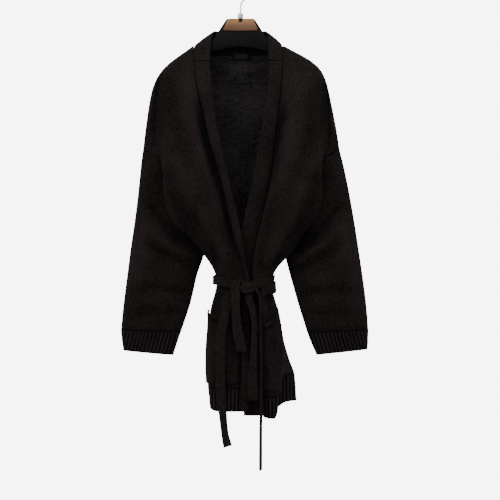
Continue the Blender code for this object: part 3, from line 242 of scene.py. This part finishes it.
def lay(start, name):
    """A value laid over the piece's points by lay_knit."""
    return start.wrap(start.node("ShaderNodeAttribute", {"attribute_name": name}).outputs["Fac"])


def stitches(start, across, along, wale, course):
    """Height of rows of knit stitches: two slanting legs in each wale."""
    in_wale = (across / wale).fraction()
    from_middle = abs(in_wale - 0.5)
    leg = abs((from_middle * 2 - 0.5) * 2)
    rounded = 1 - leg * leg
    slant = ((along / course + from_middle * 1.1) * math.pi).sine()
    return rounded * (abs(slant) * 0.6 + 0.4)


def courses(start, across, along, wale, course):
    """Height of the reverse of the knit: rows of bumps that run across."""
    shift = ((across / wale) * math.tau).sine() * 0.18
    row = abs(((along / course + shift) * math.pi).sine())
    bead = abs(((across / wale) * math.pi).sine())
    return row * (bead * 0.35 + 0.65)


def knit(name, wale, course, dark, light, reverse_and_lit_inside=False, ribbed=False):
    """Matt knit: stitches that follow the piece, streaks along them, a mottled fuzz, painted shade at the seams, in
    folds, in rib grooves and beside the bands, painted light on ridges and rib tops, and an inside painted lighter.
    """
    made, shader, start = finish_of(name, roughness=0.92, Sheen_Weight=0.015, Sheen_Roughness=0.55,
                                    Specular_IOR_Level=0.03)
    along = lay(start, "along")
    across = lay(start, "across")
    depth = lay(start, "depth")
    side = lay(start, "side").between(0.45, 0.75)
    face = stitches(start, across, along, wale, course)
    flank = stitches(start, depth, along, wale, course)
    height = side.mixed(face, flank)
    streaks = streak_noise(start, across * 330 + depth * 150, along * 95)
    if reverse_and_lit_inside:
        inside = lay(start, "inside")
        height = inside.mixed(height, courses(start, across, along, wale, course))
        rows = streak_noise(start, across * 45 + depth * 30, along * 420)
        streaks = inside.mixed(streaks, rows)
    fuzz = object_noise(start, 420, 4)
    clumps = object_noise(start, 170, 3)
    broad = object_noise(start, 14, 2)
    seam = lay(start, "seam")
    welt = seam.between(0.0045, 0.0020) * 0.6 - seam.between(0.0016, 0.0003) * 3.0
    relief = height * 0.9 + fuzz * 0.5 + clumps * 0.6 + streaks * 0.8 + welt
    tone = height * 0.22 + (fuzz - 0.5) * 0.9 + (clumps - 0.5) * 1.1 + (streaks - 0.5) * 1.5 + broad * 0.3 + 0.22
    # Painted shade along the seams and along the groove under a pocket's rolled mouth
    tone = tone - seam.between(0.0022, 0.0004) * 0.5
    # Painted shade in the troughs of the folds and painted light on their ridges
    tone = tone + lay(start, "fold") * 0.30
    if ribbed:
        rib = lay(start, "rib")
        # Painted shade in the grooves between the ribs and painted light on their tops
        tone = tone + rib * 0.75 - 0.12
        relief = relief + rib * 1.6
    set_relief(start, shader, relief, 0.0012, 1.0)
    cloth = tone.clamped().coloured(dark, light)
    if reverse_and_lit_inside:
        # The inside takes the greyer colour of its purl side and painted light that makes it lighter than the outside
        cloth = inside.coloured(cloth, tone.clamped().coloured((0.0075, 0.0064, 0.0068), (0.048, 0.042, 0.044)))
    # Painted shadow beside the bands mixes the colour towards black
    start.tree.links.new((lay(start, "shade") * 0.93).coloured(cloth, (0, 0, 0)).socket, shader.inputs["Base Color"])
    start.tree.links.new((fuzz * 0.12 + 0.82).socket, shader.inputs["Roughness"])
    return made


def streak_noise(start, first, second):
    """Noise stretched along the knit, from two scaled lengths."""
    place = start.wrap(start.node("ShaderNodeCombineXYZ", X=first, Y=second).outputs[0])
    return start.wrap(start.node("ShaderNodeTexNoise", Vector=place, Scale=1.0, Detail=3.0, Roughness=0.6).outputs[0])


def satin(name):
    """The bare label's woven satin."""
    made, shader, start = finish_of(name, roughness=0.5, Specular_IOR_Level=0.2)
    coordinates = start.wrap(start.node("ShaderNodeTexCoord").outputs["Object"])
    wave = start.wrap(start.node("ShaderNodeTexWave", {"bands_direction": "Z"}, Vector=coordinates, Scale=900.0,
                                 Distortion=0.4).outputs["Fac"])
    cross = start.wrap(start.node("ShaderNodeTexWave", {"bands_direction": "X"}, Vector=coordinates, Scale=420.0,
                                  Distortion=0.6).outputs["Fac"])
    weave = wave * 0.6 + cross * 0.4
    set_relief(start, shader, weave, 0.0002, 0.6)
    start.tree.links.new(weave.coloured((0.0015, 0.0015, 0.0018), (0.006, 0.006, 0.007)).socket, shader.inputs["Base Color"])
    start.tree.links.new((weave * 0.2 + 0.35).socket, shader.inputs["Roughness"])
    return made


def lacquer(name):
    """Black satin lacquer over wood."""
    made, shader, start = finish_of(name, roughness=0.45, Coat_Weight=0.02, Coat_Roughness=0.3,
                                    Specular_IOR_Level=0.12)
    grain = object_noise(start, 60, 3)
    fine = object_noise(start, 700, 2)
    start.tree.links.new(grain.coloured((0.0010, 0.0008, 0.0006), (0.0035, 0.0028, 0.0022)).socket, shader.inputs["Base Color"])
    start.tree.links.new((grain * 0.15 + fine * 0.08 + 0.5).socket, shader.inputs["Roughness"])
    set_relief(start, shader, grain * 0.5 + fine * 0.2, 0.0002, 0.5)
    return made


def pale_wood(name):
    """Clear-finished wood with grain along the plate, with painted light making it paler towards the top."""
    made, shader, start = finish_of(name, roughness=0.42, Coat_Weight=0.15, Coat_Roughness=0.3)
    coordinates = start.wrap(start.node("ShaderNodeTexCoord").outputs["Object"])
    stretched = start.wrap(start.node("ShaderNodeMapping", Vector=coordinates, Scale=(9.0, 40.0, 120.0)).outputs[0])
    rings = start.wrap(start.node("ShaderNodeTexNoise", Vector=stretched, Scale=1.6, Detail=5.0,
                                  Roughness=0.65).outputs[0])
    fine = start.wrap(start.node("ShaderNodeTexNoise", Vector=stretched, Scale=9.0, Detail=3.0).outputs[0])
    parts = start.node("ShaderNodeSeparateXYZ", Vector=coordinates)
    height = start.wrap(parts.outputs["Z"])
    grain = (rings * 1.5 - 0.35).clamped()
    wood = grain.coloured((0.060, 0.016, 0.002), (0.18, 0.064, 0.010))
    # Painted light: the top of the plate is mixed towards a pale colour
    top = height.between(-0.116, -0.094)
    lit = (top * 0.55 * (fine * 0.5 + 0.75)).coloured(wood, (0.40, 0.19, 0.055))
    start.tree.links.new(lit.socket, shader.inputs["Base Color"])
    start.tree.links.new((rings * 0.2 + 0.32).socket, shader.inputs["Roughness"])
    set_relief(start, shader, rings * 0.6 + fine * 0.4, 0.00025, 0.5)
    return made


def steel(name):
    """Brushed steel, drawn along its length."""
    made, shader, start = finish_of(name, roughness=0.3, Metallic=1.0)
    coordinates = start.wrap(start.node("ShaderNodeTexCoord").outputs["Object"])
    drawn = start.wrap(start.node("ShaderNodeMapping", Vector=coordinates, Scale=(1400.0, 1400.0, 60.0)).outputs[0])
    marks = start.wrap(start.node("ShaderNodeTexNoise", Vector=drawn, Scale=1.0, Detail=3.0).outputs[0])
    start.tree.links.new(marks.coloured((0.42, 0.40, 0.37), (0.66, 0.63, 0.58)).socket, shader.inputs["Base Color"])
    start.tree.links.new((marks * 0.25 + 0.2).socket, shader.inputs["Roughness"])
    set_relief(start, shader, marks, 0.0001, 0.4)
    return made


def paper(name):
    """The pale floor."""
    made, shader, start = finish_of(name, roughness=0.9)
    tint = object_noise(start, 3, 2)
    start.tree.links.new(tint.coloured((0.86, 0.86, 0.86), (0.9, 0.9, 0.9)).socket, shader.inputs["Base Color"])
    return made


def line_distance(x, z, line):
    """Distance of points to a line of points in the XZ plane, and how far along it they are."""
    best = np.full(x.shape, 9.0)
    share = np.zeros(x.shape)
    count = len(line) - 1
    for k in range(count):
        a, b = np.array(line[k]), np.array(line[k + 1])
        span = b - a
        t = np.clip(((x - a[0]) * span[0] + (z - a[1]) * span[1]) / (span @ span), 0, 1)
        d = np.hypot(x - a[0] - t * span[0], z - a[1] - t * span[1])
        nearer = d < best
        best = np.where(nearer, d, best)
        share = np.where(nearer, (k + t) / count, share)
    return best, share


def fold_depth(x, z, folds):
    """How far all the folds together move the cloth at points, outwards positive."""
    total = np.zeros(x.shape)
    for number, (_, line, reach, depth) in enumerate(folds):
        distance, share = line_distance(x, z, line)
        uneven = 1 + 0.3 * np.sin(share * 9 + number * 2.1) + 0.2 * np.sin(share * 23 + number)
        fade = np.sin(math.pi * np.clip(share * 0.8 + 0.2, 0, 1)) ** 0.6
        wide = reach * (1 + 0.25 * np.sin(share * 6 + number))
        total += depth * uneven * fade * np.exp(-(distance / wide) ** 2 * 1.6)
    return total


def ripple(x, y, z):
    """Broad unevenness of soft cloth."""
    return 0.0012 * (np.sin(x * 41 + z * 17) * np.sin(z * 23 - x * 11 + 1.3) + 0.6 * np.sin(x * 67 - z * 37 + y * 29))


def press_folds(points):
    """Moves points of the cloth by one field over the whole garment."""
    x, y, z = points[:, 0], points[:, 1], points[:, 2]
    front = np.clip(0.5 - y / 0.03, 0, 1)
    depth = front * fold_depth(x, z, FRONT_FOLDS) + (1 - front) * fold_depth(x, z, BACK_FOLDS)
    sleeves = fold_depth(x, z, SLEEVE_FOLDS)
    near_sleeve = np.clip((np.abs(x) - 0.105) / 0.04, 0, 1)
    both = depth * FRONT_GAIN + sleeves * near_sleeve * SLEEVE_GAIN
    calm_top = np.clip((-0.175 - z) / 0.08, 0, 1)
    behind_neck = np.clip((0.072 - np.abs(x)) / 0.01, 0, 1) * np.clip((-0.180 - z) / 0.008, 0, 1) * (y > 0.012)
    calm_top = np.maximum(calm_top, behind_neck)
    both = (both + ripple(x, y, z)) * calm_top
    away = np.where(np.abs(y) > 0.001, np.sign(y), 0) * np.clip(np.abs(y) / 0.012, 0, 1)
    moved = points.copy()
    moved[:, 1] += away * both
    # The second value, from -1 in a trough to 1 on a ridge, is laid on the cloth for painted shade and painted light on
    # the folds
    return moved, np.clip(both / 0.004, -1, 1) * np.abs(away)


def cloth_skin(node, name, material, slot, direction, levels, folds=True, sides=1.0):
    """A finer skin of a cloth solid: merged, in quads, subdivided, folded, and laid with knit."""
    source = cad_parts[node]
    mesh = source.data.copy()
    mesh.name = name
    shape = bmesh.new()
    shape.from_mesh(mesh)
    bmesh.ops.remove_doubles(shape, verts=shape.verts, dist=MERGE)
    bmesh.ops.join_triangles(shape, faces=shape.faces, angle_face_threshold=0.6, angle_shape_threshold=1.2)
    crease = shape.edges.layers.float.new("crease_edge")
    for edge in shape.edges:
        if len(edge.link_faces) == 2 and edge.calc_face_angle(0) > SHARP_EDGE:
            edge[crease] = sides
    shape.to_mesh(mesh)
    shape.free()
    made = bpy.data.objects.new(name, mesh)
    bpy.context.scene.collection.objects.link(made)
    smooth = made.modifiers.new("finer", "SUBSURF")
    smooth.levels = levels
    smooth.render_levels = levels
    bpy.context.view_layer.update()
    finer = bpy.data.meshes.new_from_object(made.evaluated_get(bpy.context.evaluated_depsgraph_get()))
    made.modifiers.clear()
    made.data = finer
    finer.name = name
    count = len(finer.vertices)
    points = np.empty(count * 3, np.float32)
    finer.vertices.foreach_get("co", points)
    points = points.reshape(-1, 3).astype(float)
    seam = seam_distance(node, points)
    fold = np.zeros(count)
    if node == "collar_back":
        low = np.clip((-0.158 - points[:, 2]) / 0.012, 0, 1) * (np.abs(points[:, 0]) < 0.082) * (points[:, 1] > 0.012)
        points[:, 2] -= (0.0042 + 0.003 * np.clip((np.abs(points[:, 0]) - 0.045) / 0.012, 0, 1)) * low
        finer.vertices.foreach_set("co", points.astype(np.float32).ravel())
    if node.startswith("sleeve"):
        close = np.clip(1 - seam / 0.004, 0, 1) * (points[:, 2] > -0.7)
        points -= np.array(direction) / np.linalg.norm(direction) * (SLEEVE_CLOSE * close)[:, None]
        finer.vertices.foreach_set("co", points.astype(np.float32).ravel())
    if node.startswith("pocket"):
        points, seam = roll_mouth(points)
        finer.vertices.foreach_set("co", points.astype(np.float32).ravel())
    if node.startswith("belt_wrap"):
        points[:, 2] += BELT_LIFT * np.clip((-0.020 - points[:, 0]) / 0.050, 0, 1)
        finer.vertices.foreach_set("co", points.astype(np.float32).ravel())
    if folds:
        points, fold = press_folds(points)
        finer.vertices.foreach_set("co", points.astype(np.float32).ravel())
        finer.update()
    rib = np.zeros(count)
    if slot == "rib_knit":
        points, rib = raise_ribs(finer, points, direction)
        finer.vertices.foreach_set("co", points.astype(np.float32).ravel())
        finer.update()
    lay_knit(finer, points, direction, seam, rib, band_shade(node, points), fold)
    finer.materials.clear()
    finer.materials.append(material)
    finer.shade_smooth()
    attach(made, "root")
    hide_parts(node)
    return made


def raise_ribs(mesh, points, direction):
    """Ribs along a piece at the real pitch, faded out at its rims: new points, and -1 to 1 up a rib."""
    along = np.array(direction, float) / np.linalg.norm(direction)
    across = np.cross((0, 1, 0), along)
    normal = np.empty(len(points) * 3, np.float32)
    mesh.vertices.foreach_get("normal", normal)
    normal = normal.reshape(-1, 3)
    clear = np.clip(1 - np.abs(normal @ along) * 2, 0, 1)
    share = np.cos(math.tau * (points @ across) / RIB_PITCH) * clear
    return points + normal * (share * RIB_GAIN)[:, None], share


def band_shade(node, points):
    """Painted shadow where a front turns under the edge of its band, from 0 to 1."""
    if node not in ("front_right_panel", "front_left_panel"):
        return np.zeros(len(points))
    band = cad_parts[node.replace("front_", "front_band_").replace("_panel", "")].data
    tree = BVHTree.FromPolygons([v.co for v in band.vertices], [tuple(f.vertices) for f in band.polygons])
    away = np.array([tree.find_nearest(Vector(point))[3] for point in points])
    z = points[:, 2]
    low = -0.66 if "right" in node else -0.56
    window = np.clip((-0.27 - z) / 0.07, 0, 1) * np.clip((z - low) / 0.05, 0, 1)
    reach = 0.014 + 0.022 * np.clip((z + 0.64) / 0.22, 0, 1)
    return np.clip((1 - away / reach) * 2.5, 0, 1) * window


def roll_mouth(points):
    """Swells the band along a pocket's mouth, with a shallow groove under it, and returns distances to that groove for
    painted shade along it.
    """
    x, z = points[:, 0], points[:, 2]
    bins = np.linspace(x.min() - 1e-6, x.max() + 1e-6, 13)
    place = np.clip(np.digitize(x, bins) - 1, 0, 11)
    tops = np.array([z[place == k].max() if (place == k).any() else z.max() for k in range(12)])
    top = np.interp(x, (bins[1:] + bins[:-1]) / 2, tops)
    share = (top - z) / MOUTH_HEIGHT
    swell = MOUTH_SWELL * np.sin(math.pi * np.clip(share, 0, 1)) ** 0.8 - 0.001 * np.exp(-((share - 1.15) / 0.2) ** 2)
    moved = points.copy()
    moved[:, 1] -= swell
    return moved, np.abs(share - 1.1) * MOUTH_HEIGHT


SEAMS = {
    "back_panel": ("sleeve_right", "sleeve_left", "hem_back", "front_right_panel", "front_left_panel", "collar_back"),
    "front_right_panel": ("back_panel", "sleeve_right", "hem_front_right", "front_band_right"),
    "front_left_panel": ("back_panel", "sleeve_left", "hem_front_left", "front_band_left"),
    "sleeve_right": ("front_right_panel", "back_panel", "cuff_right"),
    "sleeve_left": ("front_left_panel", "back_panel", "cuff_left"),
    "cuff_right": ("sleeve_right",),
    "cuff_left": ("sleeve_left",),
    "hem_back": ("back_panel",),
    "hem_front_right": ("front_right_panel",),
    "hem_front_left": ("front_left_panel",),
    "front_band_right": ("front_right_panel", "collar_back"),
    "front_band_left": ("front_left_panel", "collar_back"),
    "collar_back": ("back_panel", "front_band_right", "front_band_left"),
    "pocket_right": (),
    "pocket_left": (),
}


def seam_distance(node, points):
    """How far each point of a piece is from the nearest piece that it is sewn to."""
    near = np.full(len(points), 0.05)
    for other in SEAMS.get(node, ()):
        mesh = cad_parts[other].data
        tree = BVHTree.FromPolygons([v.co for v in mesh.vertices], [tuple(f.vertices) for f in mesh.polygons])
        for k, point in enumerate(points):
            if near[k] > 0.0005:
                hit = tree.find_nearest(Vector(point), near[k])
                if hit[0] is not None:
                    near[k] = hit[3]
    return near


def lay_knit(mesh, points, direction, seam, rib, shade, fold):
    """Stores how far along and across the wales each point is, and which way the cloth faces."""
    along = np.array(direction, float)
    along /= np.linalg.norm(along)
    across = np.cross((0, 1, 0), along)
    count = len(mesh.vertices)
    normal = np.empty(count * 3, np.float32)
    mesh.vertices.foreach_get("normal", normal)
    normal = normal.reshape(-1, 3)
    inside = np.clip(-np.sign(points[:, 1]) * normal[:, 1] * 3, 0, 1)
    for name, values in (("along", points @ along), ("across", points @ across), ("depth", points[:, 1]),
                         ("side", (normal @ across) ** 2), ("inside", inside), ("seam", seam),
                         ("rib", rib), ("shade", shade), ("fold", fold)):
        layer = mesh.attributes.new(name, "FLOAT", "POINT")
        layer.data.foreach_set("value", np.asarray(values, np.float32))


def hard_skin(node, name, material, bevel):
    """A finer copy of a hard solid with softened edges."""
    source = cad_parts[node]
    mesh = source.data.copy()
    mesh.name = name
    shape = bmesh.new()
    shape.from_mesh(mesh)
    bmesh.ops.remove_doubles(shape, verts=shape.verts, dist=MERGE)
    bmesh.ops.dissolve_limit(shape, angle_limit=math.radians(2), verts=shape.verts, edges=shape.edges)
    shape.to_mesh(mesh)
    shape.free()
    made = bpy.data.objects.new(name, mesh)
    bpy.context.scene.collection.objects.link(made)
    if bevel:
        soften = made.modifiers.new("soft edges", "BEVEL")
        soften.width = bevel
        soften.segments = 3
        soften.limit_method = "ANGLE"
        soften.angle_limit = math.radians(35)
        bpy.context.view_layer.update()
        softened = bpy.data.meshes.new_from_object(made.evaluated_get(bpy.context.evaluated_depsgraph_get()))
        made.modifiers.clear()
        made.data = softened
        softened.name = name
    made.data.materials.clear()
    made.data.materials.append(material)
    bpy.ops.object.select_all(action="DESELECT")
    made.select_set(True)
    bpy.context.view_layer.objects.active = made
    bpy.ops.object.shade_smooth_by_angle(angle=math.radians(35))
    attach(made, "root")
    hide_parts(node)
    return made


def dress_garment():
    """Every cloth piece in its own knit."""
    plain = knit("fine_black_knit", WALE, COURSE, (0.0052, 0.0036, 0.0034), (0.0265, 0.0196, 0.0184), reverse_and_lit_inside=True)
    rib = knit("black_rib", WALE, COURSE, (0.0026, 0.0018, 0.0017), (0.0275, 0.0205, 0.0192), ribbed=True)
    band = knit("black_band_knit", BAND_WALE, BAND_COURSE, (0.0052, 0.0037, 0.0035), (0.0270, 0.0202, 0.0190))
    belt = knit("black_belt_knit", BAND_WALE, BAND_COURSE, (0.0054, 0.0039, 0.0037), (0.0280, 0.0210, 0.0198))
    down = (0, 0, -1)
    right_arm, left_arm = (-0.11, 0, -0.40), (0.12, 0, -0.40)
    for node, finish, slot, direction, levels, held, rests in (
            ("back_panel", plain, "knit", down, 2, "hung", "hanger_body"),
            ("front_right_panel", plain, "knit", down, 2, "hung", "hanger_body"),
            ("front_left_panel", plain, "knit", down, 2, "hung", "hanger_body"),
            ("sleeve_right", plain, "knit", right_arm, 2, "hung", "front_right_panel"),
            ("sleeve_left", plain, "knit", left_arm, 2, "hung", "front_left_panel"),
            ("pocket_right", plain, "knit", down, 2, "hung", "front_right_panel"),
            ("pocket_left", plain, "knit", down, 2, "hung", "front_left_panel"),
            ("cuff_right", rib, "rib_knit", right_arm, 2, "hung", "sleeve_right"),
            ("cuff_left", rib, "rib_knit", left_arm, 2, "hung", "sleeve_left"),
            ("hem_back", rib, "rib_knit", down, 2, "hung", "back_panel"),
            ("hem_front_right", rib, "rib_knit", down, 2, "hung", "front_right_panel"),
            ("hem_front_left", rib, "rib_knit", down, 2, "hung", "front_left_panel"),
            ("front_band_right", band, "band_knit", down, 2, "hung", "front_right_panel"),
            ("front_band_left", band, "band_knit", down, 2, "hung", "front_left_panel"),
            ("collar_back", band, "band_knit", (1, 0, 0), 2, "hung", "back_panel"),
            ("belt_wrap_inner", belt, "belt_knit", (1, 0, 0), 2, "stretched", "back_panel"),
            ("belt_wrap_outer", belt, "belt_knit", (1, 0, 0), 2, "stretched", "back_panel")):
        skin = cloth_skin(node, node + "_skin", finish, slot, direction, levels)
    for node in ("belt_loop_right", "belt_loop_left", "belt_tail_right", "belt_tail_left"):
        skin = cloth_skin(node, node + "_skin", belt, "belt_knit", down, 2, folds=False, sides=0.5)
    knot = cloth_skin("belt_knot", "belt_knot_skin", belt, "belt_knit", (1, 0, 0), 2, folds=False)
    label = cloth_skin("neck_label", "neck_label_skin", satin("black_satin"), "label", down, 2, folds=False)


def dress_hanger():
    hard_skin("hanger_body", "hanger_body_skin", lacquer("black_lacquer"), 0.0012)
    hard_skin("hanger_face", "hanger_face_skin", pale_wood("clear_wood"), 0.0006)
    metal = steel("drawn_steel")
    hard_skin("hanger_ferrule", "hanger_ferrule_skin", metal, 0.0006)
    hard_skin("hanger_hook", "hanger_hook_skin", metal, 0)


# Brightness of the studio behind the garment, and of the light that it gives
SEEN_SKY = 7.0
LIT_SKY = 0.28

# Floor, low and small enough to stay below the camera's view
FLOOR_Z = -1.46
FLOOR_RADIUS = 0.75


def build_floor():
    """A round pale floor."""
    bpy.ops.object.select_all(action="DESELECT")
    bpy.ops.mesh.primitive_cylinder_add(vertices=96, radius=FLOOR_RADIUS, depth=0.02, location=(0, 0, FLOOR_Z - 0.01))
    made = bpy.context.object
    made.name = "floor"
    made.data.materials.append(paper("pale_paper"))


def soft_light(name, place, aim, size, power):
    data = bpy.data.lights.new(name, "AREA")
    data.shape = "RECTANGLE"
    data.size, data.size_y = size
    data.energy = power
    made = bpy.data.objects.new(name, data)
    made.location = place
    made.rotation_mode = "QUATERNION"
    made.rotation_quaternion = (Vector(aim) - Vector(place)).to_track_quat("-Z", "Y")
    bpy.context.scene.collection.objects.link(made)


def build_studio():
    """Soft light from both sides and above, and the camera where the photograph was taken."""
    soft_light("left_softbox", (-1.9, -2.0, 0.5), (0, 0, -0.6), (1.4, 2.0), 36)
    soft_light("right_softbox", (2.2, -1.6, 0.2), (0, 0, -0.6), (1.4, 2.0), 17)
    soft_light("top_softbox", (0.1, -0.9, 1.5), (0, 0, -0.5), (2.2, 1.2), 34)
    soft_light("front_softbox", (0.3, -3.6, 0.9), (0, 0, -0.5), (2.4, 1.6), 24)
    soft_light("back_left_softbox", (-1.9, 2.3, 0.6), (0, 0, -0.6), (1.6, 2.0), 34)
    soft_light("back_right_softbox", (1.9, 2.3, 0.4), (0, 0, -0.6), (1.6, 2.0), 26)
    world = bpy.data.worlds.new("studio")
    world.use_nodes = True
    sky = world.node_tree.nodes["Background"]
    sky.inputs[0].default_value = (1, 1, 1, 1)
    seen = Value(world.node_tree, world.node_tree.nodes.new("ShaderNodeLightPath").outputs["Is Camera Ray"])
    world.node_tree.links.new((seen * (SEEN_SKY - LIT_SKY) + LIT_SKY).socket, sky.inputs[1])
    bpy.context.scene.world = world
    data = bpy.data.cameras.new("camera")
    data.lens = 120
    data.sensor_width = 36
    data.clip_end = 50
    made = bpy.data.objects.new("camera", data)
    made.location = (0.0228, -4.0, -0.6464)
    made.rotation_euler = (math.pi / 2, 0, 0)
    bpy.context.scene.collection.objects.link(made)
    bpy.context.scene.camera = made


dress_garment()
dress_hanger()
build_floor()
build_studio()
